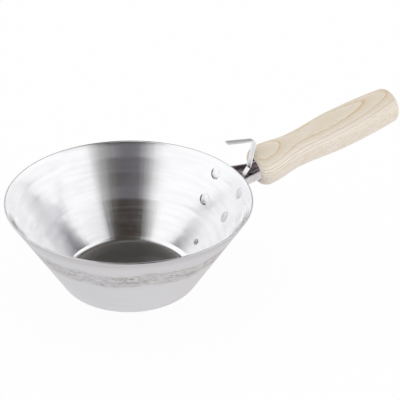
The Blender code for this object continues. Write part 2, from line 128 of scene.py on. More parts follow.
class Graph:
    """Short calls for a node tree. Any input takes a value or another node's output."""

    def __init__(self, tree):
        self.tree = tree
        tree.nodes.clear()

    def node(self, kind, inputs=None, **settings):
        made = self.tree.nodes.new(kind)
        for name, value in settings.items():
            setattr(made, name, value)
        self.fill(made, inputs or {})
        return made

    def fill(self, node, inputs):
        for key, value in inputs.items():
            self.put(node.inputs[key], value)

    def put(self, socket, value):
        if isinstance(value, bpy.types.NodeSocket):
            self.tree.links.new(value, socket)
        else:
            socket.default_value = value

    def math(self, operation, *values):
        return self.node("ShaderNodeMath", dict(enumerate(values)), operation=operation).outputs[0]

    def fold(self, operation, values):
        """An operation on two values, run over any number of them from the left."""
        result = values[0]
        for value in values[1:]:
            result = self.math(operation, result, value)
        return result

    def times(self, *values):
        return self.fold("MULTIPLY", values)

    def plus(self, *values):
        return self.fold("ADD", values)

    def least(self, *values):
        return self.fold("MINIMUM", values)

    def most(self, *values):
        return self.fold("MAXIMUM", values)

    def line(self, value, slope, start):
        return self.plus(self.times(value, slope), start)

    def about_zero(self, noise, size):
        return self.times(self.plus(noise, -0.5), size)

    def step(self, value, low, high, start=0.0, end=1.0):
        """Smoothly from start, at low and below, to end, at high and above."""
        inputs = {"Value": value, "From Min": low, "From Max": high, "To Min": start, "To Max": end}
        return self.node("ShaderNodeMapRange", inputs, interpolation_type="SMOOTHSTEP").outputs[0]

    def blend(self, share, first, second):
        """The first colour where the share is 0 and the second where it is 1."""
        made = self.node("ShaderNodeMix", {0: share}, data_type="RGBA", blend_type="MIX")
        for socket, colour in ((made.inputs[6], first), (made.inputs[7], second)):
            self.put(socket, colour if isinstance(colour, bpy.types.NodeSocket) else (*colour, 1.0))
        return made.outputs[2]

    def cover(self, colour, *layers):
        """A colour under layers, each of them a share and a colour."""
        for share, layer in layers:
            colour = self.blend(share, colour, layer)
        return colour

    def vector(self, operation, first, second, output):
        return self.node("ShaderNodeVectorMath", {0: first, 1: second}, operation=operation).outputs[output]

    def dot(self, vector, direction):
        return self.vector("DOT_PRODUCT", vector, direction, "Value")

    def split(self, vector):
        return self.node("ShaderNodeSeparateXYZ", {0: vector}).outputs

    def join(self, x, y, z):
        return self.node("ShaderNodeCombineXYZ", {0: x, 1: y, 2: z}).outputs[0]

    def stretch(self, coordinates, factors):
        return self.join(*(self.times(value, factor) for value, factor in zip(coordinates, factors)))

    def noise(self, vector, scale, detail=2.0, roughness=0.5, distortion=0.0):
        inputs = {"Vector": vector, "Scale": scale, "Detail": detail, "Roughness": roughness}
        inputs["Distortion"] = distortion
        return self.node("ShaderNodeTexNoise", inputs).outputs[0]

    def grain(self, coordinates, factors, *details):
        return self.noise(self.stretch(coordinates, factors), 1.0, *details)

    def bump(self, height, distance, strength, normal=None):
        inputs = {"Height": height, "Distance": distance, "Strength": strength}
        if normal is not None:
            inputs["Normal"] = normal
        return self.node("ShaderNodeBump", inputs).outputs[0]


def new_material(name):
    """A material with its graph, its shader and the coordinates of its object."""
    material = bpy.data.materials.new(name)
    material.use_nodes = True
    graph = Graph(material.node_tree)
    shader = graph.node("ShaderNodeBsdfPrincipled")
    graph.node("ShaderNodeOutputMaterial", {"Surface": shader.outputs[0]}, is_active_output=True)
    place = graph.node("ShaderNodeTexCoord").outputs["Object"]
    return material, graph, shader, place


# World. Directions are seen from above: ahead is toward the camera's side, and side is to its right.

AHEAD = Vector((-0.4848, -0.8746, 0))
SIDE = Vector((0.8746, -0.4848, 0))
# At the world, the ray depth of a first reflection is 2, that of a second one 3, and so on
SECOND_REFLECTION = (2.4, 2.6)
THIRD_REFLECTION = (3.4, 3.6)
# The even white of a third reflection, and brighter ones for those after it
LATE_WHITE = (4.0, 7.0, 1.05, 1.9)
CAMERA_WHITE = (1, 1, 1)
WHITE_TENT = (1.05, 1.05, 1.06)

# A grey panel high on the right, and a darker one low on the far side
RIGHT_PANEL = (0.76, 0.76, 0.78)
RIGHT_PANEL_SIDE = (0.44, 0.58)
RIGHT_PANEL_AHEAD = (0.0, 0.25)
RIGHT_PANEL_HEIGHT = (0.38, 0.72)
FAR_PANEL = (0.54, 0.54, 0.55)
FAR_PANEL_AHEAD = (-0.84, -0.74, 1, 0)
FAR_PANEL_BOTTOM = (0.10, 0.20)
FAR_PANEL_TOP = (0.50, 0.60, 1, 0)
FAR_PANEL_RIGHT = (0.35, 0.50, 1, 0)
FAR_PANEL_LEFT = (0.25, 0.40, 1, 0)

# The opening's shade fades out between a start and an end on each side, both of which change with ahead.
# The ones named line are (slope, start) of a straight line over ahead.
BEHIND = (-0.12, 0.0, 1, 0)
OPENING_FAR_END = (-0.80, -0.62)
RIGHT_START = (0.0, 0.35, 0.15, 0.42)
RIGHT_START_NEAR_LINE = (-1.2, 1.14)
RIGHT_START_NEAR_LEAST = 0.10
RIGHT_START_FAR_LINE = (-0.8, -0.22)
RIGHT_END_LINE = (0.4, 0.54)
RIGHT_END_MOST = 0.60
RIGHT_END_NEAR_LINE = (1.1, 0.04)
RIGHT_END_BEHIND = (-0.10, 0.0, -0.10, 0)
RIGHT_END_FAR_LINE = (-1.2, -0.02)
RIGHT_END_FAR_LEAST = 0.45
LEFT_START = (0.45, 0.60, 0.10, 0.22)
LEFT_START_NEAR_LINE = (-0.9, 0.83)
LEFT_END = (0.0, 0.12, 0.34, 0.42)
LEFT_END_WIDER = (0.52, 0.62, 0, 0.16)
LEFT_END_NARROWER = (0.66, 0.77, 0, -0.09)
# What a second reflection sees behind: both starts at least this far out, and the left end this much further
DEEP_START = 0.30
DEEP_LEFT_END = 0.10

# The opening's colour, and others that take its place over ranges of ahead
OPENING_TOP = (0.039, 0.035, 0.030)
OPENING_LAYERS = (
    ((0.10, 0.50), (0.034, 0.025, 0.018)),
    ((0.775, 0.86), (0.137, 0.131, 0.147)),
    ((0.85, 0.95), (0.175, 0.170, 0.185)),
    ((-0.50, -0.24, 1, 0), (0.087, 0.079, 0.071)),
)

# A paler window in the opening. Its colour changes to the right, and toward the camera's side.
WINDOW_LEFT = (0.57, 0.57, 0.59)
WINDOW_MIDDLE = (0.24, 0.235, 0.27)
WINDOW_MIDDLE_SIDE = (0.0, 0.19)
WINDOW_RIGHT = (0.70, 0.69, 0.73)
WINDOW_RIGHT_SIDE = (0.26, 0.46)
WINDOW_NEAR = (1.00, 1.00, 1.02)
WINDOW_NEAR_AHEAD = (0.47, 0.57)
WINDOW_FAR_END = (0.34, 0.42)
WINDOW_NEAR_END = (0.58, 0.63, 1, 0)
WINDOW_LEFT_END = (0.28, 0.38, 1, 0)
# How much further those two ends lie for a second reflection
WINDOW_DEEP_NEAR = 0.04
WINDOW_DEEP_LEFT = 0.2
# The window's right edge for a first reflection and for a second one: slope, place and softness
WINDOW_EDGE = (1.5, 1.12, 0.05)
WINDOW_DEEP_EDGE = (0.93, 1.00, 0.03)

# The light on what isn't shiny: from the left, from the right and from overhead
EVEN_LEFT = (1.10, 1.10, 1.12)
EVEN_RIGHT = (0.98, 0.97, 0.96)
EVEN_LEFTWARD = (-0.8, 0.8, 1, 0)
EVEN_CEILING = (0.80, 0.80, 0.80)
EVEN_OVERHEAD = (math.cos(math.radians(30)), math.cos(math.radians(20)))


def opening_share(graph, way):
    """1 in the dark opening and 0 outside it."""
    ahead = way.ahead
    deep_behind = graph.times(way.deep, graph.step(ahead, *BEHIND))
    deep_start = graph.times(deep_behind, DEEP_START)
    right_start = graph.most(
        graph.least(
            graph.step(ahead, *RIGHT_START),
            graph.most(graph.line(ahead, *RIGHT_START_NEAR_LINE), RIGHT_START_NEAR_LEAST),
        ),
        graph.line(ahead, *RIGHT_START_FAR_LINE),
        deep_start,
    )
    right_end = graph.most(
        graph.least(graph.line(ahead, *RIGHT_END_LINE), RIGHT_END_MOST),
        graph.line(ahead, *RIGHT_END_NEAR_LINE),
    )
    right_end = graph.plus(right_end, graph.step(ahead, *RIGHT_END_BEHIND))
    far_end = graph.most(graph.line(ahead, *RIGHT_END_FAR_LINE), RIGHT_END_FAR_LEAST)
    right_end = graph.most(right_end, far_end)
    left_start = graph.least(graph.step(ahead, *LEFT_START), graph.line(ahead, *LEFT_START_NEAR_LINE))
    left_start = graph.most(left_start, deep_start)
    left_end = graph.plus(
        graph.step(ahead, *LEFT_END),
        graph.step(ahead, *LEFT_END_WIDER),
        graph.step(ahead, *LEFT_END_NARROWER),
        graph.times(deep_behind, DEEP_LEFT_END),
    )
    return graph.times(
        graph.step(way.side, right_start, right_end, 1, 0),
        graph.step(way.left, left_start, left_end, 1, 0),
        graph.step(ahead, *OPENING_FAR_END),
    )


def window_share(graph, way):
    """1 in the opening's paler window and 0 outside it."""
    slope, start, soft = graph.split(graph.blend(way.deep, WINDOW_EDGE, WINDOW_DEEP_EDGE))
    past_edge = graph.plus(way.side, graph.times(way.ahead, slope), graph.times(start, -1))
    near = graph.plus(way.ahead, graph.times(way.deep, -WINDOW_DEEP_NEAR))
    left = graph.plus(way.left, graph.times(way.deep, -WINDOW_DEEP_LEFT))
    return graph.times(
        graph.step(way.ahead, *WINDOW_FAR_END),
        graph.step(near, *WINDOW_NEAR_END),
        graph.step(past_edge, graph.times(soft, -1), soft, 1, 0),
        graph.step(left, *WINDOW_LEFT_END),
    )


def opening_colour(graph, way):
    window = graph.cover(
        WINDOW_LEFT,
        (graph.step(way.side, *WINDOW_MIDDLE_SIDE), WINDOW_MIDDLE),
        (graph.step(way.side, *WINDOW_RIGHT_SIDE), WINDOW_RIGHT),
        (graph.step(way.ahead, *WINDOW_NEAR_AHEAD), WINDOW_NEAR),
    )
    layers = [(graph.step(way.ahead, *reach), colour) for reach, colour in OPENING_LAYERS]
    return graph.cover(OPENING_TOP, *layers, (window_share(graph, way), window))


def tent_colour(graph, way):
    """What a first and a second reflection see: the white tent, its panels and the opening."""
    right_panel = graph.times(
        graph.step(way.side, *RIGHT_PANEL_SIDE),
        graph.step(way.ahead, *RIGHT_PANEL_AHEAD),
        graph.step(way.height, *RIGHT_PANEL_HEIGHT),
    )
    far_panel = graph.times(
        graph.step(way.ahead, *FAR_PANEL_AHEAD),
        graph.step(way.height, *FAR_PANEL_BOTTOM),
        graph.step(way.height, *FAR_PANEL_TOP),
        graph.step(way.side, *FAR_PANEL_RIGHT),
        graph.step(way.left, *FAR_PANEL_LEFT),
    )
    return graph.cover(
        WHITE_TENT,
        (right_panel, RIGHT_PANEL),
        (far_panel, FAR_PANEL),
        (opening_share(graph, way), opening_colour(graph, way)),
    )


def build_world():
    """A white tent with a dark opening over it, which narrows from the camera's side to the far side.

    The camera sees plain white, and what isn't shiny is lit more evenly than what is. The real tent was
    near, so that a second reflection saw other parts of it than a first one, which is what deep stands in
    for. A third and later one sees an even white.
    """
    world = bpy.data.worlds.new("studio")
    world.use_nodes = True
    scene.world = world
    graph = Graph(world.node_tree)
    direction = graph.node("ShaderNodeTexCoord").outputs["Generated"]
    rays = graph.node("ShaderNodeLightPath").outputs
    depth = rays["Ray Depth"]
    side = graph.dot(direction, SIDE)
    way = Way(
        ahead=graph.dot(direction, AHEAD),
        side=side,
        left=graph.times(side, -1),
        height=graph.split(direction)[2],
        deep=graph.step(depth, *SECOND_REFLECTION),
    )
    late_white = graph.step(depth, *LATE_WHITE)
    even = graph.cover(
        EVEN_RIGHT,
        (graph.step(side, *EVEN_LEFTWARD), EVEN_LEFT),
        (graph.step(way.height, *EVEN_OVERHEAD), EVEN_CEILING),
    )
    colour = graph.cover(
        tent_colour(graph, way),
        (graph.step(depth, *THIRD_REFLECTION), graph.join(late_white, late_white, late_white)),
        (rays["Is Diffuse Ray"], even),
        (rays["Is Camera Ray"], CAMERA_WHITE),
    )
    background = graph.node("ShaderNodeBackground", {"Color": colour})
    graph.node("ShaderNodeOutputWorld", {"Surface": background.outputs[0]})


# Floor

FLOOR_HALF = 3.0
FLOOR_DROP = 0.0002
FLOOR_GREY = (0.93, 0.93, 0.93, 1)
# How much of the floor is an even white where the camera or a mirror sees it
FLOOR_WHITE_SHARE = 0.95


def build_floor():
    mesh = bpy.data.meshes.new("floor")
    corners = [(x * FLOOR_HALF, y * FLOOR_HALF, 0) for x, y in ((-1, -1), (1, -1), (1, 1), (-1, 1))]
    mesh.from_pydata(corners, [], [(0, 1, 2, 3)])
    floor = bpy.data.objects.new("floor", mesh)
    floor.location.z = -FLOOR_DROP
    scene.collection.objects.link(floor)
    material, graph, shader, _ = new_material("floor_white")
    graph.fill(shader, {"Base Color": FLOOR_GREY, "Roughness": 1.0, "Specular IOR Level": 0.0})
    white = graph.node("ShaderNodeEmission", {"Color": (1, 1, 1, 1)}).outputs[0]
    rays = graph.node("ShaderNodeLightPath").outputs
    share = graph.times(graph.most(rays["Is Camera Ray"], rays["Is Glossy Ray"]), FLOOR_WHITE_SHARE)
    mixed = graph.node("ShaderNodeMixShader", {0: share, 1: shader.outputs[0], 2: white}).outputs[0]
    graph.put(graph.tree.nodes["Material Output"].inputs["Surface"], mixed)
    mesh.materials.append(material)


# Meshes. An edge that turns by more degrees than its piece's sharp angle stays sharp.

TURNED_SHARP_ANGLE = 50
HOOK_SHARP_ANGLE = 40
BRACKET_SHARP_ANGLE = 35


def link_piece(name, mesh, slot, *nodes):
    piece = bpy.data.objects.new(name, mesh)
    scene.collection.objects.link(piece)
    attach(piece, "root")
    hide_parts(*nodes)
    return piece


def finish_mesh(mesh, sharp_angle):
    mesh.polygons.foreach_set("use_smooth", [True] * len(mesh.polygons))
    mesh.set_sharp_from_angle(angle=math.radians(sharp_angle))
    mesh.update()


def skin(body, rings, zones=None):
    """Faces between rings of vertices, where a ring of one vertex is a pole. zones gives their materials."""
    for index, (first, second) in enumerate(zip(rings, rings[1:])):
        steps = max(len(first), len(second))
        for k in range(steps):
            after = (k + 1) % steps
            if len(first) == 1:
                corners = (first[0], second[after], second[k])
            elif len(second) == 1:
                corners = (first[k], first[after], second[0])
            else:
                corners = (first[k], first[after], second[after], second[k])
            face = body.faces.new(corners)
            if zones:
                face.material_index = zones[index]


def mesh_of(body, name):
    bmesh.ops.recalc_face_normals(body, faces=body.faces)
    mesh = bpy.data.meshes.new(name)
    body.to_mesh(mesh)
    body.free()
    return mesh


def lathe(name, profile, steps, shape=None, zones=None):
    """A closed turned mesh. The profile's (radius, height) points start and end on the axis.

    shape moves a point by its angle. zones gives each stretch of the profile its material.
    """
    body = bmesh.new()
    rings = []
    for radius, height in profile:
        if radius == 0:
            rings.append([body.verts.new((0, 0, height))])
            continue
        ring = []
        for k in range(steps):
            angle = 2 * math.pi * k / steps
            r, z = shape(radius, height, angle) if shape else (radius, height)
            ring.append(body.verts.new((r * math.cos(angle), r * math.sin(angle), z)))
        rings.append(ring)
    skin(body, rings, zones)
    return mesh_of(body, name)


def arc(centre, radius, start, end, count):
    angles = [start + (end - start) * i / count for i in range(count + 1)]
    return [(centre[0] + radius * math.cos(a), centre[1] + radius * math.sin(a)) for a in angles]


def line(start, end, count):
    """Points from start to end, without the start."""
    return [tuple(s + (e - s) * i / count for s, e in zip(start, end)) for i in range(1, count + 1)]


# Bowl

BOWL_STEPS = 320
BASE_ROWS = 8
BASE_BEND_ROWS = 8
WALL_ROWS = 68
FILLET_ROWS = 14
FLOOR_ROWS = 16
# The bowl's materials, in the order in which its mesh has them
OUTSIDE, INSIDE, EDGE = range(3)

# How far the inside of the wall lies outward of a true cone, by height
INNER_WALL = (
    (0.000, -0.00240),
    (0.007, -0.00142),
    (0.014, -0.00051),
    (0.021, 0.00018),
    (0.028, 0.00068),
    (0.037, 0.00061),
    (0.046, 0.00069),
    (0.057, 0.00054),
    (0.066, -0.00019),
    (0.0685, -0.00020),
    (0.070, 0.00020),
)
# Points across the rim's edge, how far it bulges, and how far its inner corner is rounded off down the wall
RIM_SHARES = (0.15, 0.4, 0.6, 0.8, 0.93)
RIM_BULGE = 0.00035
RIM_ROUND = 0.0002
RIM_BULGE_POWER = 4
RIM_ROUND_POWER = 2.5
# The fillet between the wall and the floor, and how steeply the floor rises to it
FILLET_RADIUS = 0.0085
FILLET_START = math.radians(40.5)
FLOOR_RISE = math.radians(2.2)
# A slow unevenness in the wall, as waves of (size, count round the bowl, phase, turn up the wall). Their sizes
# add up to the offset, so that no wave moves the wall outward.
WAVE_SIZE = 0.000016
WAVE_OFFSET = 2.8
WAVES = (
    (1.0, 3, 0.7, 0.0),
    (0.7, 5, 2.1, 2.0),
    (0.5, 11, 0.0, 4.0),
    (0.35, 19, 1.3, 0.0),
    (0.25, 31, 0.4, 2.0),
)


def inner_offset(height):
    for (low, start), (high, end) in zip(INNER_WALL, INNER_WALL[1:]):
        if height <= high:
            return start + (end - start) * (height - low) / (high - low)
    return end


def inner_point(height):
    """The inside of the wall at a height, as (radius, height)."""
    offset = inner_offset(height) - BOWL_SHEET
    below_rim = BOWL_HEIGHT - height - offset * WALL_COS
    return RIM_RADIUS - below_rim * WALL_RUN / BOWL_HEIGHT + offset * WALL_SIN, height


def rim_points(top, thickness):
    """Across the rim's edge, which bulges up from the wall's outer top."""
    points = []
    for share in RIM_SHARES:
        fall = max(0.0, 2 * share - 1) ** RIM_ROUND_POWER * (RIM_BULGE + RIM_ROUND)
        bulge = RIM_BULGE * (1 - (2 * min(share, 0.5) - 1) ** RIM_BULGE_POWER) - fall
        shift = thickness * share
        points.append((
            top[0] - shift * WALL_SIN + bulge * WALL_COS,
            top[1] + shift * WALL_COS + bulge * WALL_SIN,
        ))
    return points


def floor_points(start):
    """From the fillet's lower end to the middle of the floor, which is dished."""
    edge, level = start
    points = []
    for i in range(1, FLOOR_ROWS + 1):
        radius = edge * (1 - i / FLOOR_ROWS)
        drop = math.tan(FLOOR_RISE) * (edge ** 2 - radius ** 2) / (2 * edge)
        points.append((radius, level - drop))
    return points


def bowl_profile():
    """The bowl's section from the middle of the base out and up, over the rim, and down the inside.

    Returns its points, the material of each stretch, and the index of the fillet's upper end.
    """
    bend = (BASE_RADIUS - BASE_BEND_RADIUS * math.tan(WALL_ANGLE / 2), BASE_BEND_RADIUS)
    down = -math.pi / 2
    top = (RIM_RADIUS - RIM_BULGE * WALL_COS, BOWL_HEIGHT - RIM_BULGE * WALL_SIN)
    outer = [(0, 0)]
    outer += line((0, 0), (bend[0], 0), BASE_ROWS)
    outer += arc(bend, BASE_BEND_RADIUS, down, down + WALL_ANGLE, BASE_BEND_ROWS)[1:]
    outer += line(outer[-1], top, WALL_ROWS)

    thickness = BOWL_SHEET - inner_offset(BOWL_HEIGHT)
    rim = rim_points(top, thickness)

    wall_top = BOWL_HEIGHT + thickness * WALL_COS - (RIM_BULGE + RIM_ROUND) * WALL_SIN
    wall_end = BOWL_SHEET + FILLET_RADIUS * (1 - math.cos(FILLET_START))
    inner = [inner_point(wall_top + (wall_end - wall_top) * i / WALL_ROWS) for i in range(WALL_ROWS + 1)]
    centre = (inner[-1][0] - FILLET_RADIUS * math.sin(FILLET_START), BOWL_SHEET + FILLET_RADIUS)
    inner += arc(centre, FILLET_RADIUS, down + FILLET_START, down + FLOOR_RISE, FILLET_ROWS)[1:]
    inner += floor_points(inner[-1])

    zones = [OUTSIDE] * len(outer) + [EDGE] * len(rim) + [INSIDE] * (len(inner) - 1)
    return outer + rim + inner, zones, len(outer) + len(rim) + WALL_ROWS


def uneven(radius, height, angle):
    """A point of the bowl moved by the waves, which fade out at the rim and the base."""
    share = max(0.0, min(1.0, height / BOWL_HEIGHT))
    fade = min(1.0, 4 * share * (1 - share))
    wave = sum(size * math.sin(count * angle + phase + turn * share) for size, count, phase, turn in WAVES)
    move = -WAVE_SIZE * (WAVE_OFFSET + wave) * fade
    return radius + move * WALL_SIN, height - move * WALL_COS


def build_bowl():
    points, zones, fillet_ring = bowl_profile()
    mesh = lathe("bowl_spun", points, BOWL_STEPS, uneven, zones)
    for material in (steel_outside(), steel_inside(), plain_steel("bowl_edge")):
        mesh.materials.append(material)
    finish_mesh(mesh, TURNED_SHARP_ANGLE)
    # The crease over the fillet. The first ring is a single vertex.
    first = 1 + (fillet_ring - 1) * BOWL_STEPS
    ring = range(first, first + BOWL_STEPS)
    for edge in mesh.edges:
        if edge.vertices[0] in ring and edge.vertices[1] in ring:
            edge.use_edge_sharp = True
    link_piece("bowl_spun", mesh, "bowl_steel", "bowl")


# Steel. Round the bowl, a grain's coordinates are the way along the wall or the height, and the cosine and
# sine of the angle. A bump is its distance and strength.

# Nearer the axis than this, the angle's cosine and sine fade out
AXIS_CLEARANCE = 0.004
MIDTONES = (0.3, 0.7)

INSIDE_DARK = (0.905, 0.905, 0.915)
INSIDE_LIGHT = (0.945, 0.945, 0.95)
INSIDE_LINES = ((1400, 1.3, 1.3), 4, 0.65)
INSIDE_LINES_BUMP = (0.0000015, 0.5)
INSIDE_BANDS = ((260, 2.2, 2.2), 2)
INSIDE_BANDS_SHARE = (0.35, 0.65)
INSIDE_SPOKES = ((13, 13, 12), 3, 0.6)
INSIDE_SPOKES_BUMP = (0.00010, 0.6)
INSIDE_ROUGHNESS = (*MIDTONES, 0.14, 0.19)
SMUDGE = (0.83, 0.83, 0.84)
SMUDGES = (38, 4, 0.6)
SMUDGE_SHARE = (0.52, 0.75, 0, 0.35)
SMUDGE_ROUGHNESS = (0.5, 0.8, 0, 0.06)

# Dirt with painted contact shade round the rivets' inner heads
GRIME_AND_SHADE = (0.05, 0.045, 0.045)
GRIME_AND_SHADE_PATCHES = (420, 2, 0.6)
GRIME_AND_SHADE_PATCHES_SHARE = (0.34, 0.50, 0.35, 1)
# Dirt and painted contact shade start this far under a rivet's head, and their fading out is measured from
# this far beyond it
GRIME_AND_SHADE_UNDER_HEAD = 0.0002
GRIME_AND_SHADE_PAST_HEAD = 0.0001
# It lies down the wall from a left rivet and this far round, and grows over this distance to full strength
GRIME_AND_SHADE_TURN = math.radians(35)
GRIME_AND_SHADE_GROWTH = 0.0025
GRIME_AND_SHADE_LEAST = 0.05
# Where it fades out beside a left rivet and beside the others, which have this evener share of it
LEFT_GRIME_AND_SHADE_REACH = (0.0006, 0.0015)
OTHER_GRIME_AND_SHADE_REACH = (0.0000, 0.0006)
OTHER_GRIME_AND_SHADE = (0.30, 0.32)

OUTSIDE_BLUISH = (0.680, 0.670, 0.692)
OUTSIDE_REDDISH = (0.690, 0.665, 0.668)
OUTSIDE_TINT = ((14, 1.2, 1.2), 2)
OUTSIDE_TINT_SHARE = (0.38, 0.62)
OUTSIDE_LINES = ((900, 1.6, 1.6), 4, 0.6)
OUTSIDE_LINES_BUMP = (0.000006, 0.5)
OUTSIDE_ROUGHNESS = (*MIDTONES, 0.36, 0.46)
OUTSIDE_ANISOTROPY = 0.4
# A darker stretch under the rim
OUTSIDE_TOP = (0.53, 0.51, 0.52)
OUTSIDE_TOP_SHARE = (0.058, 0.067, 0, 0.60)

# A scuffed band round the outside, of fine broken threads over a haze, whose height wanders
SCUFF = (0.34, 0.31, 0.29)
SCUFF_ROUGHNESS = 0.2
SCUFF_BUMP = (-0.00006, 0.6)
BAND_BOTTOM = (0.035, 0.039)
BAND_TOP = (0.049, 0.055, 1, 0)
WANDER = (2.2, 2)
WANDER_SIZE = 0.012
WEB_FACTORS = (190, 7, 7)
THREADS = (1.0, 4, 0.62, 0.9)
THREAD_WIDTH = (0.0, 0.030, 1, 0)
HAZE = (2.3, 4, 0.7)
HAZE_SHARE = (0.40, 0.62)
BREAKS_HEIGHT_FACTOR = 60
BREAKS = (5.0, 3)
BREAKS_SHARE = (0.38, 0.56, 0.15, 1)
THREADS_STRENGTH = 0.62
HAZE_STRENGTH = 0.26
BAND_STRENGTH = 0.09
# Height, half width and strength of the long scuff lines, which drift as well
SCUFF_TRACKS = ((0.0505, 0.0007, 0.55), (0.0430, 0.0008, 0.65))
TRACK_CORE = 0.3
DRIFT = (9.0, 3, 0.6)
DRIFT_SIZE = 0.009

# Plain steels: the dark and the light tone, the least and the most roughness, and the clouds' scale
PLAIN_STEELS = {
    "bowl_edge": ((0.62, 0.61, 0.62), (0.80, 0.79, 0.80), 0.14, 0.24, 300),
    "hook_satin": ((0.84, 0.83, 0.84), (0.92, 0.91, 0.92), 0.22, 0.32, 120),
    "bracket_bright": ((0.58, 0.55, 0.55), (0.70, 0.67, 0.68), 0.14, 0.26, 160),
    # The channel's inside, painted dark as shade, with paler clouds as painted highlights
    "bracket_inside_painted_shade": ((0.19, 0.16, 0.16), (0.50, 0.46, 0.47), 0.12, 0.24, 300),
    "rivet_plain": ((0.80, 0.79, 0.80), (0.94, 0.94, 0.95), 0.16, 0.28, 420),
    "rivet_worn": ((0.64, 0.62, 0.64), (0.84, 0.83, 0.84), 0.20, 0.32, 420),
    "rivet_dull": ((0.38, 0.37, 0.39), (0.60, 0.59, 0.61), 0.22, 0.36, 420),
}
PLAIN_CLOUDS = (4, 0.6)
PLAIN_SCRATCHES = ((260, 2600, 900), 3, 0.6)
PLAIN_SCRATCHES_BUMP = (0.00001, 0.5)
PLAIN_ROUGHNESS = (0.7, 1.3)
# Painted shade over a piece's top: its colour, the height over which it comes in, and where it starts on the
# hook
PAINTED_TOP_SHADE = (0.62, 0.62, 0.62)
PAINTED_TOP_SHADE_FADE = 0.001
HOOK_PAINTED_SHADE_ABOVE = 0.0915


def ring_place(graph, place):
    """Coordinates on the bowl: along the wall, its angle's cosine and sine, which have no seam, and height."""
    x, y, z = graph.split(place)
    radius = graph.math("SQRT", graph.plus(graph.times(x, x), graph.times(y, y)))
    along = graph.plus(graph.times(radius, WALL_COS), graph.times(z, WALL_SIN))
    safe = graph.most(radius, AXIS_CLEARANCE)
    return along, graph.math("DIVIDE", x, safe), graph.math("DIVIDE", y, safe), z


def wall_point(below_rim, turn):
    """A place on the outside of the wall and the way out from it."""
    radius = RIM_RADIUS - below_rim * WALL_COS
    point = Vector((radius * math.cos(turn), radius * math.sin(turn), BOWL_HEIGHT - below_rim * WALL_SIN))
    outward = Vector((math.cos(turn) * WALL_SIN, math.sin(turn) * WALL_SIN, -WALL_COS))
    return point, outward


def rivet_grime_and_shade(graph, place):
    """Dirt and painted contact shade close round the inner heads, mostly to one side of each left one and
    thinner round the others.
    """
    grime_and_shade = 0.0
    for _, below_rim, turn, sizes in WALL_RIVETS:
        spot, outward = wall_point(below_rim, turn)
        spot -= BOWL_SHEET * outward
        down = Vector((-WALL_COS * math.cos(turn), -WALL_COS * math.sin(turn), -WALL_SIN))
        round_bowl = Vector((-math.sin(turn), math.cos(turn), 0))
        dirt_and_shade_way = down * math.cos(GRIME_AND_SHADE_TURN) + round_bowl * math.sin(GRIME_AND_SHADE_TURN)
        level = dirt_and_shade_way.dot(spot)
        amount = graph.step(graph.dot(place, dirt_and_shade_way), level, level + GRIME_AND_SHADE_GROWTH, GRIME_AND_SHADE_LEAST, 1)
        near, far = LEFT_GRIME_AND_SHADE_REACH
        if turn <= 0:
            amount = graph.line(amount, *OTHER_GRIME_AND_SHADE)
            near, far = OTHER_GRIME_AND_SHADE_REACH
        away = graph.vector("DISTANCE", place, spot, "Value")
        edge = sizes.head + GRIME_AND_SHADE_PAST_HEAD
        ring = graph.times(
            graph.step(away, edge + near, edge + far, 1, 0),
            graph.step(away, sizes.head - GRIME_AND_SHADE_UNDER_HEAD, sizes.head),
        )
        grime_and_shade = graph.plus(grime_and_shade, graph.times(ring, amount))
    return graph.times(grime_and_shade, graph.step(graph.noise(place, *GRIME_AND_SHADE_PATCHES), *GRIME_AND_SHADE_PATCHES_SHARE))


def steel_inside():
    material, graph, shader, place = new_material("bowl_polished")
    along, cos_turn, sin_turn, z = ring_place(graph, place)
    lines = graph.grain((along, cos_turn, sin_turn), *INSIDE_LINES)
    bands = graph.grain((along, cos_turn, sin_turn), *INSIDE_BANDS)
    spokes = graph.grain((cos_turn, sin_turn, z), *INSIDE_SPOKES)
    smudges = graph.noise(place, *SMUDGES)
    tone = graph.cover(
        INSIDE_DARK,
        (graph.step(bands, *INSIDE_BANDS_SHARE), INSIDE_LIGHT),
        (graph.step(smudges, *SMUDGE_SHARE), SMUDGE),
        # Dirt and painted contact shade round the rivet heads
        (rivet_grime_and_shade(graph, place), GRIME_AND_SHADE),
    )
    rough = graph.plus(graph.step(lines, *INSIDE_ROUGHNESS), graph.step(smudges, *SMUDGE_ROUGHNESS))
    relief = graph.bump(lines, *INSIDE_LINES_BUMP, graph.bump(spokes, *INSIDE_SPOKES_BUMP))
    graph.fill(shader, {"Base Color": tone, "Metallic": 1.0, "Roughness": rough, "Normal": relief})
    return material


